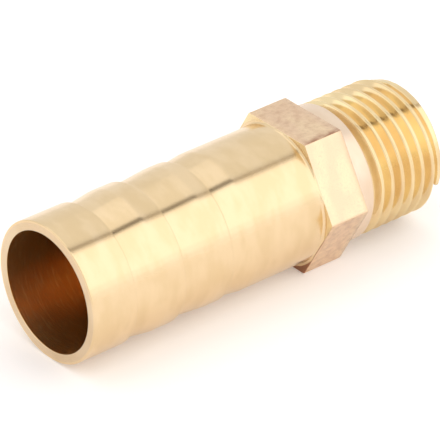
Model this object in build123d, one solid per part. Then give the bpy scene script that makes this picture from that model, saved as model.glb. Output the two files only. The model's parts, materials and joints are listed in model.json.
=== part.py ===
from build123d import *
import math
import os

# Brass hose barb tail: a short open tube with three barbs for a hose, a spanner hexagon and a
# parallel pipe thread, turned in one piece from 10 mm hexagon bar.
# The fitting's own axis is X, from the open end of the tail at the origin to the thread's end.
# It lies on one flat of the hexagon, with +Z up. All lengths are in millimetres.

# ---- Hose tail: lengths run from the open end, in the order in which a hose meets them ----
tail_diameter = 10.0        # lead land and first barb, for a 10 mm hose
shank_undersize = 0.1       # the second barb and the plain shank are this much smaller
tail_length = 19.5          # open end to the hexagon
lead_length = 3.5           # open end to the first sharp edge
barb_pitch = 4.08           # one sharp edge to the next
ramp_lengths = (2.4, 2.85, 1.85)    # each cone that rises towards the hexagon
groove_depths = (0.32, 0.3, 0.24)   # each step down behind a sharp edge
step_length = 0.14          # how far each step leans back
barb_edge_radius = 0.06
ramp_blend_radius = 1.5     # where a cone runs into the land above it
rim_chamfer = 0.08          # inner and outer edge of the open end
tool_nose_radius = 0.2      # left round the shank where the tail meets the hexagon

# ---- Hexagon ----
hex_across_flats = 10.0
hex_length = 3.2
hex_corner_radius = 0.2

# ---- Neck and parallel thread, 28 threads to the inch ----
neck_diameter = 9.8
neck_length = 1.32
neck_chamfer = 0.12
relief_length = 0.23        # narrow groove between the neck and the first full thread
relief_depth = 0.083        # how far that groove is cut below the root of the thread
run_in_length = 0.15        # from the relief groove up to the full diameter
thread_major_diameter = 9.728
thread_pitch = 0.907
thread_flank_angle = 27.5   # half of the 55 degree thread form
thread_depth_share = 0.6403     # crest to root, as a share of the pitch
thread_crest_share = 0.12   # flat left on the crest, as a share of the pitch
thread_length = 6.28        # neck to the end face, with the relief
end_band_length = 0.45      # turned down at the thread's end, so that a nut finds its start
end_band_depth = 0.33       # how far it is turned down from the crests
end_cone_length = 0.2       # from the full diameter down to that band
thread_overshoot_share = 0.08   # how far the cutter stands out of the thread, as a share of the pitch
thread_phase_angle = -11.0  # where the crest crosses the middle of the thread, from +Z to -Y
blunt_start_angle = 109.0   # where the last thin turn of the crest is cut off, from +Z to -Y
blunt_start_sweep = 150.0
blunt_start_depth = 0.13    # how far that cut goes below the root
partial_crest_share = 0.25  # a crest that is this share of the pitch past the end counts as a turn

# ---- Bores ----
tail_wall = 0.7             # lead land to the tail bore
tail_bore_depth = 17.4
drill_point_angle = 59.0    # half of the drill's 118 degree point
thread_bore_diameter = 6.0
thread_bore_chamfer = 0.3

# ---- Places along the axis ----
hex_start = tail_length
hex_end = hex_start + hex_length
neck_end = hex_end + neck_length
thread_start = neck_end + relief_length
end_face = neck_end + thread_length

tail_radius = tail_diameter / 2
shank_radius = tail_radius - shank_undersize / 2
neck_radius = neck_diameter / 2
major_radius = thread_major_diameter / 2
minor_radius = major_radius - thread_depth_share * thread_pitch
relief_radius = minor_radius - relief_depth
tail_bore_radius = tail_radius - tail_wall
thread_bore_radius = thread_bore_diameter / 2
hex_circumradius = hex_across_flats / math.sqrt(3)


def turned(outline, rounded_corners=()):
    """Solid of revolution about the fitting's axis from a closed outline of (x, radius) points."""
    section = Plane.XZ * make_face(Polyline(*outline, close=True))
    for (x, radius), rounding in rounded_corners:
        corner = section.vertices().sort_by_distance((x, 0, radius))[0]
        section = fillet(corner, rounding)
    return revolve(section, Axis.X)


def bar(start_x, end_x):
    """Length of hexagon bar with two flats level, its corners slightly rounded as drawn."""
    flats = RegularPolygon(hex_circumradius, 6)
    flats = fillet(flats.vertices(), hex_corner_radius)
    across = Plane(origin=(start_x, 0, 0), x_dir=(0, 1, 0), z_dir=(1, 0, 0))
    return extrude(across * flats, end_x - start_x)


def outside_bar(start_x, end_x):
    """Disc with the hexagon bar taken out of it, which trims a turned shape to the bar."""
    reach = 2 * hex_circumradius
    disc = turned([(start_x, 0), (start_x, reach), (end_x, reach), (end_x, 0)])
    return disc - bar(start_x, end_x)


def tail():
    """Barbed tail, running a little way into the hexagon that carries it."""
    land_radii = (tail_radius, tail_radius, shank_radius, shank_radius)
    outline = [(0, 0), (0, tail_radius - rim_chamfer), (rim_chamfer, tail_radius)]
    rounded = []
    for barb, (ramp, depth) in enumerate(zip(ramp_lengths, groove_depths)):
        edge_x = lead_length + barb * barb_pitch
        sharp_edge = (edge_x, land_radii[barb])
        groove_floor = (edge_x + step_length, land_radii[barb] - depth)
        ramp_top = (edge_x + step_length + ramp, land_radii[barb + 1])
        outline += [sharp_edge, groove_floor, ramp_top]
        rounded += [(sharp_edge, barb_edge_radius), (ramp_top, ramp_blend_radius)]
    inside_hex = hex_start + hex_length / 2
    root_radius = shank_radius + 2 * tool_nose_radius
    rounded.append(((hex_start, shank_radius), tool_nose_radius))
    outline += [
        (hex_start, shank_radius),
        (hex_start, root_radius),
        (inside_hex, root_radius),
        (inside_hex, 0),
    ]
    return turned(outline, rounded) - outside_bar(hex_start - tool_nose_radius, inside_hex)


def neck():
    """Plain neck between the hexagon and the thread, running a little way into the hexagon."""
    inside_hex = hex_end - hex_length / 2
    outline = [
        (inside_hex, 0),
        (inside_hex, neck_radius),
        (neck_end - neck_chamfer, neck_radius),
        (neck_end, neck_radius - neck_chamfer),
        (neck_end, 0),
    ]
    return turned(outline)


def helical_cutter(section, sweep):
    """Cutter about Z with a section of (radius, z) points, swept up and round from angle 0."""
    rise = thread_pitch * sweep / 360
    helices = [Pos(0, 0, z) * Helix(thread_pitch, rise, radius) for radius, z in section]
    sides = [
        Face.make_surface_from_curves(edge.edge(), following.edge())
        for edge, following in zip(helices, helices[1:] + helices[:1])
    ]
    first_end = Face(Wire.make_polygon([(radius, 0, z) for radius, z in section], close=True))
    last_end = Pos(0, 0, rise) * Rot(0, 0, sweep) * first_end
    return Solid(Shell([*sides, first_end, last_end]))


def about_thread(x, angle=0.0):
    """Plane across the thread at x, whose own X points at an angle from +Z towards -Y."""
    turned_by = math.radians(angle)
    outwards = (0, -math.sin(turned_by), math.cos(turned_by))
    return Plane(origin=(x, 0, 0), x_dir=outwards, z_dir=(1, 0, 0))


def groove_section():
    """Section of the groove between two crests, with its middle at z = 0."""
    slope = math.tan(math.radians(thread_flank_angle))
    half_mouth = thread_pitch * (1 - thread_crest_share) / 2
    half_floor = half_mouth - (major_radius - minor_radius) * slope
    overshoot = thread_overshoot_share * thread_pitch
    half_top = half_mouth + overshoot * slope
    return [
        (minor_radius, -half_floor),
        (major_radius + overshoot, -half_top),
        (major_radius + overshoot, half_top),
        (minor_radius, half_floor),
    ]


def thread():
    """Thread blank with its relief groove and end band, the helical groove and the blunt start."""
    blank = turned([
        (neck_end, 0),
        (neck_end, relief_radius),
        (thread_start, relief_radius),
        (thread_start + run_in_length, major_radius),
        (end_face - end_band_length - end_cone_length, major_radius),
        (end_face - end_band_length, major_radius - end_band_depth),
        (end_face, major_radius - end_band_depth),
        (end_face, 0),
    ])
    middle_x = (thread_start + end_face) / 2
    crest_x = middle_x - thread_pitch * thread_phase_angle / 360
    turns_before = math.ceil((crest_x - neck_end) / thread_pitch) + 1
    first_x = crest_x - (turns_before + 0.5) * thread_pitch
    turns = math.ceil((end_face - first_x) / thread_pitch) + 1
    groove = helical_cutter(groove_section(), 360)
    for turn in range(turns):
        blank -= about_thread(first_x + turn * thread_pitch) * groove

    start_x = crest_x + thread_pitch * blunt_start_angle / 360
    turns_left = math.floor((end_face - start_x) / thread_pitch + partial_crest_share)
    last_groove_x = start_x + (turns_left - 0.5) * thread_pitch
    inner_radius = minor_radius - blunt_start_depth
    outer_radius = major_radius + thread_overshoot_share * thread_pitch
    blunt_section = [
        (inner_radius, 0),
        (outer_radius, 0),
        (outer_radius, thread_pitch),
        (inner_radius, thread_pitch),
    ]
    blunt_start = helical_cutter(blunt_section, blunt_start_sweep)
    return blank - about_thread(last_groove_x, blunt_start_angle) * blunt_start


def bores():
    """Wide tail bore with its drilled cone, and the narrower bore through the thread."""
    cone_length = (tail_bore_radius - thread_bore_radius) / math.tan(math.radians(drill_point_angle))
    past = thread_bore_chamfer
    return turned([
        (-past, 0),
        (-past, tail_bore_radius + rim_chamfer + past),
        (rim_chamfer, tail_bore_radius),
        (tail_bore_depth, tail_bore_radius),
        (tail_bore_depth + cone_length, thread_bore_radius),
        (end_face - thread_bore_chamfer, thread_bore_radius),
        (end_face + past, thread_bore_radius + thread_bore_chamfer + past),
        (end_face + past, 0),
    ])


fitting = tail() + bar(hex_start, hex_end) + neck() + thread() - bores()
os.makedirs("parts", exist_ok=True)
export_step(fitting, "parts/hose_barb_tail.step")
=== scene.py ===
import json
import math

import bmesh
import bpy
import numpy as np
from mathutils import Matrix, Vector


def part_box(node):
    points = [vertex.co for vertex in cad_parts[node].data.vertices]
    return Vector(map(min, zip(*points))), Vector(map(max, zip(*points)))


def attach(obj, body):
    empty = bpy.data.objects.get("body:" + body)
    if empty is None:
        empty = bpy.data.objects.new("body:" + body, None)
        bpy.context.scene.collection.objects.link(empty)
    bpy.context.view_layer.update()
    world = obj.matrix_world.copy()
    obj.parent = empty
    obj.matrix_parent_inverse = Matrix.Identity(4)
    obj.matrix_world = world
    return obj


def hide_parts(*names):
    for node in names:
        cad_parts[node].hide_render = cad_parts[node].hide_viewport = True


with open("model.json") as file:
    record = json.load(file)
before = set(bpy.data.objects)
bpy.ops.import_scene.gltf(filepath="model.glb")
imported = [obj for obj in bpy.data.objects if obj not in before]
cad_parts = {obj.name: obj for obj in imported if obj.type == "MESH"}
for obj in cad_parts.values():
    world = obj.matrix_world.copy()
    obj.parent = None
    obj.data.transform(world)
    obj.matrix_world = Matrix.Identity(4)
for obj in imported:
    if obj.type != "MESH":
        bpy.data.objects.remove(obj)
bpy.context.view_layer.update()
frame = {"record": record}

# ======== The fitting ========
# A hose tail for a 10 mm hose: barbed tube, spanner hexagon and parallel pipe thread in one piece.
# It is brass, turned from 10 mm hexagon bar and drilled from both ends. The turned surfaces are
# bright from the tool, and the six flats are still the skin of the drawn bar.

MM = 0.001
low_corner, high_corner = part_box("hose_barb_tail")
mount_sizes = {mount["name"]: mount["dims"] for mount in frame["record"]["mounts"]}
end_face = high_corner.x / MM
flat_radius = high_corner.z / MM
land_radius = mount_sizes["hose_land"]["r_mm"]
tail_bore_radius = mount_sizes["tail_bore"]["r_mm"]
thread_bore_radius = mount_sizes["thread_bore"]["r_mm"]
crest_radius = mount_sizes["male_thread"]["r_mm"]

# -- Barbed tail: each barb is a sharp step down and a long cone up to the next land. --
shank_undersize = 0.05
lead_length = 3.5
barb_pitch = 4.08
barb_steps = (0.32, 0.3, 0.24)
barb_ramps = (2.4, 2.85, 1.85)
step_length = 0.14
edge_rounding = 0.045
ramp_rounding = 0.12
rim_rounding = 0.08
tool_nose_radius = 0.2          # where the tail meets the hexagon's face
hex_start = 19.5

# -- Hexagon --
hex_length = 3.2
hex_corner_rounding = 0.21
hex_edge_rounding = 0.03

# -- Neck and thread --
neck_radius = 4.9
neck_length = 1.32
neck_chamfer = 0.12
neck_edge_rounding = 0.03
relief_length = 0.23
relief_drop = 0.083
thread_pitch = 0.907
thread_depth_share = 0.6403     # crest to root, of the pitch
thread_crest_share = 0.1        # flat left on the crest, of the pitch
thread_flank_angle = 27.5
crest_rounding = 0.06
root_rounding = 0.2
run_in_length = 0.15
thread_phase_angle = -11.0      # where the crest crosses the middle, from +Z to -Y
end_band_length = 0.45
end_band_depth = 0.33
end_cone_length = 0.2
blunt_start_angles = (109, 259)     # where the last thin turn is cut away, from +Z to -Y
blunt_start_depth = 0.13
partial_crest_share = 0.25      # a crest this far past the end, in turns, still counts as one

# -- Bores --
tail_bore_depth = 17.4
drill_point_angle = 59.0
thread_bore_chamfer = 0.3

# -- Rows and columns of the mesh: a row runs round the fitting and a column along it. --
columns_across_flat = 34
corner_columns = (0.25, 0.5, 0.75, 1.0, 1.4)    # degrees from a corner of the hexagon
cut_column_offset = 0.1         # degrees to either side of the blunt start's square edge
corner_margin = 0.04            # from a corner of an outline to the row beside it
corner_margin_share = 0.25      # the most that this may be, of a straight stretch
rows_in_rounding = 5
rows_in_tool_nose = 9
rows_on_flat = 7
edge_row_share = 0.3            # where a row lies within the hexagon's rounded edge
hex_face_shares = (0.1, 0.35, 0.65, 0.9, 1)
end_face_shares = (0.1, 0.4, 0.7, 0.9)
thread_row_step = 0.03

shank_radius = land_radius - shank_undersize
rim_face_radius = land_radius - 2 * rim_rounding
hex_end = hex_start + hex_length
neck_end = hex_end + neck_length
thread_start = neck_end + relief_length
root_radius = crest_radius - thread_depth_share * thread_pitch
relief_radius = root_radius - relief_drop
crest_x = (thread_start + end_face) / 2 - thread_pitch * thread_phase_angle / 360


def column_angles():
    """Angles of the mesh's columns, from +Z towards -Y, drawn together at the hexagon's corners."""
    near = np.array(corner_columns)
    across = np.linspace(near[-1], 60 - near[-1], columns_across_flat + 1)[1:-1]
    sector = np.concatenate([[0], near, across, 60 - near[::-1]])
    all_round = np.concatenate([30 + 60 * side + sector for side in range(6)])
    cut_from = blunt_start_angles[0]
    beside_cut = [cut_from - cut_column_offset, cut_from + cut_column_offset]
    return np.radians(np.sort(np.concatenate([all_round, beside_cut])))


angles = column_angles()


def hexagon_radius(inset):
    """Distance from the axis to the hexagon at each column, with its corners rounded."""
    flat = flat_radius - inset
    rounding = hex_corner_rounding
    from_middle = np.abs((angles + math.pi / 6) % (math.pi / 3) - math.pi / 6)
    from_corner = math.pi / 6 - from_middle
    round_starts = math.atan((flat - rounding) * math.tan(math.pi / 6) / flat)
    centre = (flat - rounding) / math.cos(math.pi / 6)
    arc = np.sqrt(np.maximum(rounding ** 2 - (centre * np.sin(from_corner)) ** 2, 0))
    return np.where(
        from_middle <= round_starts,
        flat / np.cos(from_middle),
        centre * np.cos(from_corner) + arc,
    )


def smaller(first, second, rounding):
    """The smaller of two heights, with a round corner where they cross."""
    overlap = np.maximum(rounding - np.abs(first - second), 0)
    return np.minimum(first, second) - overlap ** 2 / (4 * rounding)


def turns_past_crest(x):
    """How many turns past the crest each column is, at one place along the thread."""
    return (x - crest_x) / thread_pitch - np.degrees(angles) / 360


def in_blunt_start(x):
    """Whether each column is where the last thin turn of the crest is cut away."""
    cut_from, cut_to = blunt_start_angles
    last_turn = (end_face - crest_x) / thread_pitch - cut_from / 360
    last_groove = math.floor(last_turn + partial_crest_share) - 0.5
    in_sweep = (np.degrees(angles) > cut_from) & (np.degrees(angles) < cut_to)
    return in_sweep & (turns_past_crest(x) > last_groove)


def thread_radius(x):
    """Distance from the axis to the thread at each column, at one place along it."""
    turn = turns_past_crest(x)
    from_crest = np.abs(turn - np.round(turn)) * thread_pitch
    slope = math.tan(math.radians(thread_flank_angle))
    flank = crest_radius - (from_crest - thread_crest_share * thread_pitch / 2) / slope
    groove = -smaller(-flank, -root_radius, root_rounding)
    radius = smaller(groove, crest_radius, crest_rounding)
    cut = np.minimum(radius, root_radius - blunt_start_depth)
    radius = np.where(in_blunt_start(x), cut, radius)
    run_in = relief_radius + (x - thread_start) / run_in_length * (crest_radius - relief_radius)
    cone_share = (x - end_face + end_band_length) / end_cone_length + 1
    end_cone = crest_radius - end_band_depth * min(max(cone_share, 0), 1)
    return np.minimum(radius, min(run_in, end_cone))


def rounded(outline, roundings):
    """An outline of (x, radius) points with a curve in place of each corner that has a rounding."""
    made = []
    for index, corner in enumerate(outline):
        corner = np.array(corner)
        rounding = roundings.get(index, 0)
        if not rounding:
            made.append(corner)
            continue
        before = np.array(outline[index - 1]) - corner
        after = np.array(outline[index + 1]) - corner
        start = corner + before / np.linalg.norm(before) * rounding
        finish = corner + after / np.linalg.norm(after) * rounding
        for share in np.linspace(0, 1, rows_in_rounding):
            blend = (1 - share) ** 2 * start + 2 * share * (1 - share) * corner
            made.append(blend + share ** 2 * finish)
    return made


def spread(outline, longest):
    """The outline with more points, close to its corners and no further apart than the longest.

    A stretch that is shorter than three margins gets none beside its corners.
    """
    made = [outline[0]]
    for start, finish in zip(outline, outline[1:]):
        run = np.linalg.norm(finish - start)
        inner = min(corner_margin / run, corner_margin_share) if run > 3 * corner_margin else 0
        shares = np.linspace(inner, 1 - inner, max(1, math.ceil(run / longest)) + 1)
        shares = shares if inner else shares[1:-1]
        made += [start + share * (finish - start) for share in shares]
        made.append(finish)
    return made


ring_rows = []      # one (x, radius at each column) for each row of the mesh
row_finishes = []   # the finish of the strip that starts at each row


def add_ring(x, radius, finish):
    """A row of the mesh, with one radius for all columns or one for each."""
    ring_rows.append((x, np.broadcast_to(radius, angles.shape)))
    row_finishes.append(finish)


def add_turned(outline, finish, longest, roundings=None):
    """Rows along an outline of (x, radius) points, no further apart than the longest."""
    for x, radius in spread(rounded(outline, roundings or {}), longest):
        add_ring(x, radius, finish)


def add_tail():
    """Outside of the tail, from the open end to the hexagon."""
    outline = [(0, rim_face_radius), (0, land_radius)]
    roundings = {1: rim_rounding}
    tops = (land_radius, land_radius, shank_radius, shank_radius)
    for barb, (step, ramp) in enumerate(zip(barb_steps, barb_ramps)):
        edge = lead_length + barb * barb_pitch
        roundings[len(outline)] = edge_rounding
        outline.append((edge, tops[barb]))
        outline.append((edge + step_length, tops[barb] - step))
        roundings[len(outline)] = ramp_rounding
        outline.append((edge + step_length + ramp, tops[barb + 1]))
    outline.append((hex_start - tool_nose_radius, shank_radius))
    add_turned(outline, "turned", longest=1.2, roundings=roundings)
    for turn in np.radians(np.linspace(0, 90, rows_in_tool_nose + 1)[1:]):
        x = hex_start - tool_nose_radius * (1 - math.sin(turn))
        radius = shank_radius + tool_nose_radius * (1 - math.cos(turn))
        add_ring(x, np.minimum(radius, hexagon_radius(hex_edge_rounding)), "turned")


def add_hexagon():
    """Both faces of the hexagon and its flats."""
    edge = hex_edge_rounding
    edge_row = edge_row_share * edge
    contour = hexagon_radius(edge)
    face_start = np.minimum(shank_radius + tool_nose_radius, contour)
    for share in hex_face_shares:
        add_ring(hex_start, face_start + share * (contour - face_start), "hex_face")
    add_ring(hex_start + edge_row, hexagon_radius(edge_row), "bar")
    for x in np.linspace(hex_start + edge, hex_end - edge, rows_on_flat):
        add_ring(x, hexagon_radius(0), "bar")
    add_ring(hex_end - edge_row, hexagon_radius(edge_row), "hex_face")
    for share in hex_face_shares[::-1]:
        add_ring(hex_end, neck_radius + share * (contour - neck_radius), "hex_face")


def add_neck_and_thread():
    """Neck, relief groove and thread, out to the end face."""
    shoulder = (neck_end, neck_radius - neck_chamfer)
    neck = [(hex_end, neck_radius), (neck_end - neck_chamfer, neck_radius), shoulder]
    relief = [shoulder, (neck_end, relief_radius), (thread_start, relief_radius)]
    add_turned(neck, "neck", longest=0.3, roundings={1: neck_edge_rounding})
    add_turned(relief, "relief", longest=0.3)
    rows = math.ceil((end_face - thread_start) / thread_row_step)
    for x in np.linspace(thread_start, end_face, rows + 1)[1:]:
        add_ring(x, thread_radius(x), "thread")


def add_bores():
    """End face, thread bore, drilled cone and tail bore, back to the open end."""
    cone_length = (tail_bore_radius - thread_bore_radius) / math.tan(math.radians(drill_point_angle))
    bevel_radius = thread_bore_radius + thread_bore_chamfer
    outer = thread_radius(end_face)
    for share in end_face_shares:
        add_ring(end_face, outer + share * (bevel_radius - outer), "faced")
    bore_mouth = (0, tail_bore_radius)
    bores = [
        (end_face, bevel_radius),
        (end_face - thread_bore_chamfer, thread_bore_radius),
        (tail_bore_depth + cone_length, thread_bore_radius),
        (tail_bore_depth, tail_bore_radius),
        bore_mouth,
    ]
    add_turned(bores, "bored", longest=2.4)
    add_turned([bore_mouth, (0, rim_face_radius)], "faced", longest=0.2)


add_tail()
add_hexagon()
add_neck_and_thread()
add_bores()


def fitting_mesh():
    """Closed mesh with a column for each angle and a row for each ring."""
    along = np.array([np.full(len(angles), x) for x, radius in ring_rows])
    out = np.array([radius for x, radius in ring_rows])
    points = np.stack([along, -out * np.sin(angles), out * np.cos(angles)], -1) * MM
    row_count, column_count = along.shape
    row, column = np.meshgrid(np.arange(row_count), np.arange(column_count), indexing="ij")
    next_row, next_column = (row + 1) % row_count, (column + 1) % column_count
    corners = [(row, column), (row, next_column), (next_row, next_column), (next_row, column)]
    faces = np.stack([r * column_count + c for r, c in corners], -1).reshape(-1, 4)
    mesh = bpy.data.meshes.new("hose_barb_tail_brass")
    mesh.from_pydata(points.reshape(-1, 3).tolist(), [], faces.tolist())
    mesh.polygons.foreach_set("use_smooth", [True] * len(faces))
    return mesh


same_point = 0.0001     # two points of the mesh that are closer than this are one


def weld(mesh):
    """Joins points that lie on each other, and turns every face outwards."""
    shell = bmesh.new()
    shell.from_mesh(mesh)
    bmesh.ops.remove_doubles(shell, verts=shell.verts, dist=same_point * MM)
    bmesh.ops.recalc_face_normals(shell, faces=shell.faces)
    shell.to_mesh(mesh)
    shell.free()


wear_width = 9.0        # degrees round the axis
flat_wear = (0.5, 0.0, 0.55, 0.3, 0.1, 0.3)     # of each flat, from the upper one towards -Y
# Painted shade: the low corner of the hexagon's face beside the tail, which the shank and the table
# shade, is painted dark brown, fading out to each side.
painted_shade_strength = 1.6
painted_shade_middle = 150.0    # degrees from +Z towards -Y
painted_shade_reach = 45.0      # degrees: its width at full strength, and how far each side then fades
skin_margin = 0.005     # from the hexagon's faces to where its skin starts
skin_depth = 0.1
face_margin = 0.01      # a point this close to a face is on it


def add_wear_and_painted_shade(mesh):
    """Marks the wear along the upper flat's edge, and paints shade into the low corner of the
    hexagon's face beside the tail.
    """
    places = np.empty(len(mesh.vertices) * 3)
    mesh.vertices.foreach_get("co", places)
    x, y, z = places.reshape(-1, 3).T / MM
    out = np.hypot(y, z)
    around = np.degrees(np.arctan2(-y, z))
    between_faces = (x > hex_start + skin_margin) & (x < hex_end - skin_margin)
    on_flats = between_faces & (out > flat_radius - skin_depth)
    flat = np.floor((around + 30) / 60).astype(int) % 6
    along_edge = np.clip(1 - (30 - around) / wear_width, 0, 1) * (flat == 0)
    worn = np.maximum(along_edge, np.array(flat_wear)[flat]) * on_flats
    # Painted shade on the hexagon's face beside the tail, strongest low down towards the front.
    on_tail_side = (np.abs(x - hex_start) < face_margin) & (out > shank_radius - face_margin)
    painted_shade = np.clip(1 - (np.abs(around - painted_shade_middle) - painted_shade_reach / 2) / painted_shade_reach, 0, 1)
    attribute = mesh.attributes.new("edge_wear", "FLOAT", "POINT")
    value = worn + painted_shade_strength * painted_shade * on_tail_side
    attribute.data.foreach_set("value", value.astype(np.float32))


def opaque(tone):
    """A tone with the full alpha that a colour socket takes beside it."""
    return (*tone, 1)


def add_node(tree, kind, inputs=None, **settings):
    """A shader node. Each of its inputs is given as a value or as another node's output."""
    made = tree.nodes.new("ShaderNode" + kind)
    for name, value in settings.items():
        setattr(made, name, value)
    for name, value in (inputs or {}).items():
        if isinstance(value, bpy.types.NodeSocket):
            tree.links.new(value, made.inputs[name])
        else:
            made.inputs[name].default_value = value
    return made


def maths(tree, operation, first, second):
    """The result of one operation on two numbers or outputs."""
    return add_node(tree, "Math", {0: first, 1: second}, operation=operation).outputs[0]


def stretched(tree, place, scale):
    """Coordinates multiplied by a scale for each axis."""
    return add_node(tree, "VectorMath", {0: place, 1: scale}, operation="MULTIPLY").outputs[0]


def noise(tree, place, size, detail=3.0):
    """Soft random pattern whose spots are about as wide as the size in millimetres."""
    inputs = {"Vector": place, "Scale": 1 / (size * MM), "Detail": detail}
    return add_node(tree, "TexNoise", inputs).outputs["Fac"]


def mixed(tree, pattern, limits, first, second):
    """The first colour where a pattern is at its lower limit and the second at its upper one."""
    inputs = {"Value": pattern, "From Min": limits[0], "From Max": limits[1]}
    share = add_node(tree, "MapRange", inputs, interpolation_type="SMOOTHSTEP").outputs["Result"]
    # Inputs 6 and 7 and output 2 of the node are the ones for colours.
    return add_node(tree, "Mix", {0: share, 6: first, 7: second}, data_type="RGBA").outputs[2]


def bumped(tree, height, depth, normal=None):
    """Surface normal tilted by a pattern that is as deep as the depth in millimetres."""
    inputs = {"Height": height, "Distance": depth * MM, "Strength": 1.0}
    if normal is not None:
        inputs["Normal"] = normal
    return add_node(tree, "Bump", inputs).outputs["Normal"]


shine_turn = 0.25               # a quarter turn, which draws the shine out across the tool marks
ring_drift = 0.03               # keeps the rings from closing on themselves
wave_detail = 1.0
fine_waves = (0.9, 0.001)
blotch_size = 1.3
blotch_stretch = (1, 0.45, 0.45)    # along X, Y and Z: below 1, the pattern is drawn out that way
blotch_detail = 5.0
blotch_limits = (0.38, 0.64)
score_size = 0.13
score_depth = 0.004
score_stretch = (1, 0.12, 0.12)
score_limits = (0.52, 0.72)
score_tone = (1.0, 0.76, 0.46)
speck_limits = (0.52, 0.8)
speck_tone = (0.74, 0.55, 0.38)
patch_scale = 3                 # how much wider a worn patch is than a pit
patch_detail = 6.0
# The dark tone of the wear on the flats, which is also painted as shade into the low corner beside
# the tail.
wear_and_shade_limits = (0.1, 0.7)
wear_and_shade_tone = (0.40, 0.20, 0.12)


def round_the_axis(tree, place):
    """Coordinates that barely change round the fitting's axis, for marks that run round it."""
    parts = add_node(tree, "SeparateXYZ", {"Vector": place}).outputs
    across = stretched(tree, place, (0, 1, 1))
    radius = add_node(tree, "VectorMath", {0: across}, operation="LENGTH").outputs["Value"]
    drift = maths(tree, "MULTIPLY", parts["Y"], ring_drift)
    return add_node(tree, "CombineXYZ", {"X": parts["X"], "Y": radius, "Z": drift}).outputs[0]


def brass(name, tone, deep_tone, roughness, shine, marks, waves, pits=None, scored=False):
    """Mottled brass with tool marks round the axis: marks, waves and pits are (size, depth).

    The shine, from 0 to 1, is how far the tool marks draw the reflections out.
    """
    material = bpy.data.materials.new(name)
    material.use_nodes = True
    tree = material.node_tree
    shader = tree.nodes["Principled BSDF"]
    shader.inputs["Metallic"].default_value = 1.0
    shader.inputs["Roughness"].default_value = roughness
    shader.inputs["Anisotropic"].default_value = shine
    shader.inputs["Anisotropic Rotation"].default_value = shine_turn
    tangent = add_node(tree, "Tangent", direction_type="RADIAL", axis="X")
    tree.links.new(tangent.outputs["Tangent"], shader.inputs["Tangent"])

    place = add_node(tree, "TexCoord").outputs["Object"]
    ring_place = round_the_axis(tree, place)
    blotches = noise(tree, stretched(tree, place, blotch_stretch), blotch_size, blotch_detail)
    colour = mixed(tree, blotches, blotch_limits, opaque(deep_tone), opaque(tone))
    normal = bumped(tree, noise(tree, ring_place, marks[0]), marks[1])
    normal = bumped(tree, noise(tree, ring_place, waves[0], wave_detail), waves[1], normal)
    if scored:
        scores = noise(tree, stretched(tree, place, score_stretch), score_size)
        colour = mixed(tree, scores, score_limits, colour, opaque(score_tone))
        normal = bumped(tree, scores, score_depth, normal)
    if pits:
        grain = noise(tree, place, pits[0])
        # The attribute holds the wear of the flats and the painted shade of the low corner beside
        # the tail.
        worn = add_node(tree, "Attribute", attribute_name="edge_wear").outputs["Fac"]
        patches = noise(tree, place, patch_scale * pits[0], patch_detail)
        rubbed_wear_and_shade = maths(tree, "MULTIPLY", worn, patches)
        colour = mixed(tree, grain, speck_limits, colour, opaque(speck_tone))
        colour = mixed(tree, rubbed_wear_and_shade, wear_and_shade_limits, colour, opaque(wear_and_shade_tone))
        normal = bumped(tree, grain, pits[1], normal)
    tree.links.new(colour, shader.inputs["Base Color"])
    tree.links.new(normal, shader.inputs["Normal"])
    return material


finish_materials = {
    "turned": brass(
        "turned_brass", tone=(0.815, 0.625, 0.385), deep_tone=(0.765, 0.575, 0.335),
        roughness=0.2, shine=0.9, marks=(0.12, 0.0007), waves=(0.9, 0.002),
    ),
    "faced": brass(
        "faced_brass", tone=(0.74, 0.58, 0.385), deep_tone=(0.69, 0.52, 0.325),
        roughness=0.22, shine=0.6, marks=(0.12, 0.002), waves=fine_waves, pits=(0.3, 0.0005),
    ),
    "bar": brass(
        "bar_skin_brass", tone=(0.85, 0.645, 0.42), deep_tone=(0.80, 0.58, 0.39),
        roughness=0.26, shine=0.2, marks=(0.4, 0.0006), waves=fine_waves, pits=(0.16, 0.002),
    ),
    "neck": brass(
        "neck_brass", tone=(0.825, 0.665, 0.515), deep_tone=(0.79, 0.62, 0.46),
        roughness=0.4, shine=0.4, marks=(0.1, 0.001), waves=fine_waves,
    ),
    # Painted light: the groove's tone is much paler than the brass round it, in place of the shade
    # that the narrow groove gives.
    "relief": brass(
        "relief_groove_brass", tone=(0.97, 0.88, 0.78), deep_tone=(0.92, 0.80, 0.65),
        roughness=0.5, shine=0.4, marks=(0.1, 0.001), waves=fine_waves,
    ),
    "hex_face": brass(
        "hexagon_face_brass", tone=(0.96, 0.82, 0.52), deep_tone=(0.9, 0.72, 0.43),
        roughness=0.5, shine=0.5, marks=(0.12, 0.003), waves=fine_waves, pits=(0.3, 0.0005),
    ),
    "thread": brass(
        "cut_thread_brass", tone=(0.86, 0.69, 0.40), deep_tone=(0.79, 0.60, 0.34),
        roughness=0.14, shine=0.3, marks=(0.1, 0.0005), waves=fine_waves,
    ),
    "bored": brass(
        "drilled_bore_brass", tone=(0.92, 0.58, 0.245), deep_tone=(0.87, 0.53, 0.21),
        roughness=0.26, shine=0.6, marks=(0.15, 0.003), waves=(0.9, 0.004), scored=True,
    ),
}

mesh = fitting_mesh()
for material in finish_materials.values():
    mesh.materials.append(material)
finish_index = {finish: index for index, finish in enumerate(finish_materials)}
strip_index = [finish_index[finish] for finish in row_finishes]
mesh.polygons.foreach_set("material_index", np.repeat(strip_index, len(angles)).tolist())
weld(mesh)
add_wear_and_painted_shade(mesh)

fitting = bpy.data.objects.new("hose_barb_tail_turned", mesh)
bpy.context.scene.collection.objects.link(fitting)
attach(fitting, "root")
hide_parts("hose_barb_tail")

# ======== The table ========
# A plain pale table top under the fitting, which lies on one flat of its hexagon.
# It shows as white where the light reaches it, and it keeps the fitting's shadow.

table_half_width = 4.0
table_gap = 0.01        # millimetres between the table and the fitting
table_height = low_corner.z - table_gap * MM
table_colour = (0.91, 0.87, 0.845)
table_lift = 0.17


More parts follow.
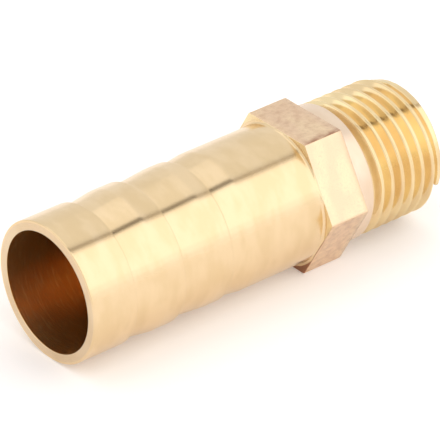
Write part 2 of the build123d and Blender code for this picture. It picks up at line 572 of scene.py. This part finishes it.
def table_material():
    """Matt top that glows a little where it is seen or mirrored, so that it shows as white."""
    material = bpy.data.materials.new("pale_table_top")
    material.use_nodes = True
    tree = material.node_tree
    tree.nodes.clear()
    path = add_node(tree, "LightPath").outputs
    seen = maths(tree, "MAXIMUM", path["Is Camera Ray"], path["Is Glossy Ray"])
    seen = maths(tree, "MAXIMUM", seen, path["Is Transmission Ray"])
    lift = maths(tree, "MULTIPLY", seen, table_lift)
    glow = add_node(tree, "Emission", {"Strength": lift}).outputs["Emission"]
    matt = add_node(tree, "BsdfDiffuse", {"Color": opaque(table_colour)}).outputs["BSDF"]
    both = add_node(tree, "AddShader", {0: matt, 1: glow}).outputs["Shader"]
    add_node(tree, "OutputMaterial", {"Surface": both})
    return material


def flat_sheet(name, corners, material):
    """A stage piece with four corners."""
    sheet_mesh = bpy.data.meshes.new(name)
    sheet_mesh.from_pydata(corners, [], [(0, 1, 2, 3)])
    sheet_mesh.materials.append(material)
    sheet = bpy.data.objects.new(name, sheet_mesh)
    bpy.context.scene.collection.objects.link(sheet)
    return sheet


table_corners = [
    (along * table_half_width, across * table_half_width, table_height)
    for along, across in ((-1, -1), (1, -1), (1, 1), (-1, 1))
]
flat_sheet("table_top", table_corners, table_material())

# ======== The light ========
# A white room, a large soft lamp above and in front, made of three that start at the same angle,
# two lesser lamps behind, and a narrow dark gap over the fitting between the large lamp and the
# white behind it.

room_strength = 1.0
lamp_distance = 1.0
lamp_length = 1.8
lamp_top_angle = 14.0
lamp_steps = ((73.0, 0.13), (82.0, 0.16), (91.0, 0.28))     # the angle of each one's foot, radiance
lamp_offset = 0.55      # along the fitting's axis
top_lamp_place = Vector((0.0, 0.33, 0.9))
top_lamp_length = 0.8
top_lamp_width = 0.83
top_lamp_radiance = 0.3
rear_lamp_place = Vector((-0.86, 0.47, 0.2))
rear_lamp_length = 0.75
rear_lamp_width = 0.28
rear_lamp_radiance = 0.35
gap_distance = 0.85
gap_cards = [           # along the axis, angles from straight up towards the front, and shade
    ((0.0, 0.46), (4.6, 10.6), (0.12, 0.11, 0.10)),
    ((0.46, 1.2), (4.6, 10.9), (0.60, 0.56, 0.52)),
]

world = bpy.data.worlds.new("white_room")
bpy.context.scene.world = world
world.use_nodes = True
background = world.node_tree.nodes["Background"]
background.inputs["Color"].default_value = (1, 1, 1, 1)
background.inputs["Strength"].default_value = room_strength


def overhead(angle, distance, x):
    """A point round the fitting's axis, with its angle from straight up towards the front."""
    tilt = math.radians(angle)
    return Vector((x, -distance * math.sin(tilt), distance * math.cos(tilt)))


def soft_lamp(name, place, length, width, radiance, target=(0, 0, 0)):
    """A rectangular lamp that faces a point on the fitting's axis, its length level."""
    lamp_data = bpy.data.lights.new(name, "AREA")
    lamp_data.shape = "RECTANGLE"
    lamp_data.size = length
    lamp_data.size_y = width
    lamp_data.energy = radiance * math.pi * length * width
    lamp = bpy.data.objects.new(name, lamp_data)
    bpy.context.scene.collection.objects.link(lamp)
    lamp.location = place
    lamp.rotation_euler = (place - Vector(target)).to_track_quat("Z", "Y").to_euler()


for foot_angle, radiance in lamp_steps:
    half_span = math.radians(foot_angle - lamp_top_angle) / 2
    lamp_width = 2 * lamp_distance * math.tan(half_span)
    place = overhead((foot_angle + lamp_top_angle) / 2, lamp_distance, lamp_offset)
    soft_lamp("front_lamp", place, lamp_length, lamp_width, radiance, target=(lamp_offset, 0, 0))
soft_lamp("top_lamp", top_lamp_place, top_lamp_length, top_lamp_width, top_lamp_radiance)
soft_lamp("rear_lamp", rear_lamp_place, rear_lamp_length, rear_lamp_width, rear_lamp_radiance)


def card_material(shade):
    """Plain material of a card that makes part of the dark gap."""
    material = bpy.data.materials.new("dark_card")
    material.use_nodes = True
    shader = material.node_tree.nodes["Principled BSDF"]
    shader.inputs["Base Color"].default_value = opaque(shade)
    return material


for (near_end, far_end), (upper_edge, lower_edge), shade in gap_cards:
    card_corners = [
        overhead(upper_edge, gap_distance, near_end),
        overhead(upper_edge, gap_distance, far_end),
        overhead(lower_edge, gap_distance, far_end),
        overhead(lower_edge, gap_distance, near_end),
    ]
    card = flat_sheet("dark_gap_card", card_corners, card_material(shade))
    card.visible_camera = False

# ======== The view ========
# From in front of the open end and above, with a long lens.
# The camera is set by its angles and its distance from the middle of what it sees.

view_azimuth = -39.56
view_elevation = 31.23
view_roll = -0.26
view_distance = 0.3001
view_centre = Vector((14.70, 0.145, -0.29)) * MM
lens_length = 368.2
sensor_width = 36.0
nearest_seen = 0.01
furthest_seen = 20.0

camera_data = bpy.data.cameras.new("camera")
camera_data.lens = lens_length
camera_data.sensor_width = sensor_width
camera_data.clip_start = nearest_seen
camera_data.clip_end = furthest_seen
camera = bpy.data.objects.new("camera", camera_data)
bpy.context.scene.collection.objects.link(camera)
bpy.context.scene.camera = camera

azimuth, elevation, roll = (math.radians(a) for a in (view_azimuth, view_elevation, view_roll))
backward = Vector((
    math.sin(azimuth) * math.cos(elevation),
    -math.cos(azimuth) * math.cos(elevation),
    math.sin(elevation),
))
level = Vector((math.cos(azimuth), math.sin(azimuth), 0))
upward = backward.cross(level)
right = math.cos(roll) * level + math.sin(roll) * upward
upward = backward.cross(right)
turned_to = Matrix((right, upward, backward)).transposed().to_4x4()
camera.matrix_world = Matrix.Translation(view_centre + backward * view_distance) @ turned_to

bpy.context.scene.view_settings.view_transform = "Standard"
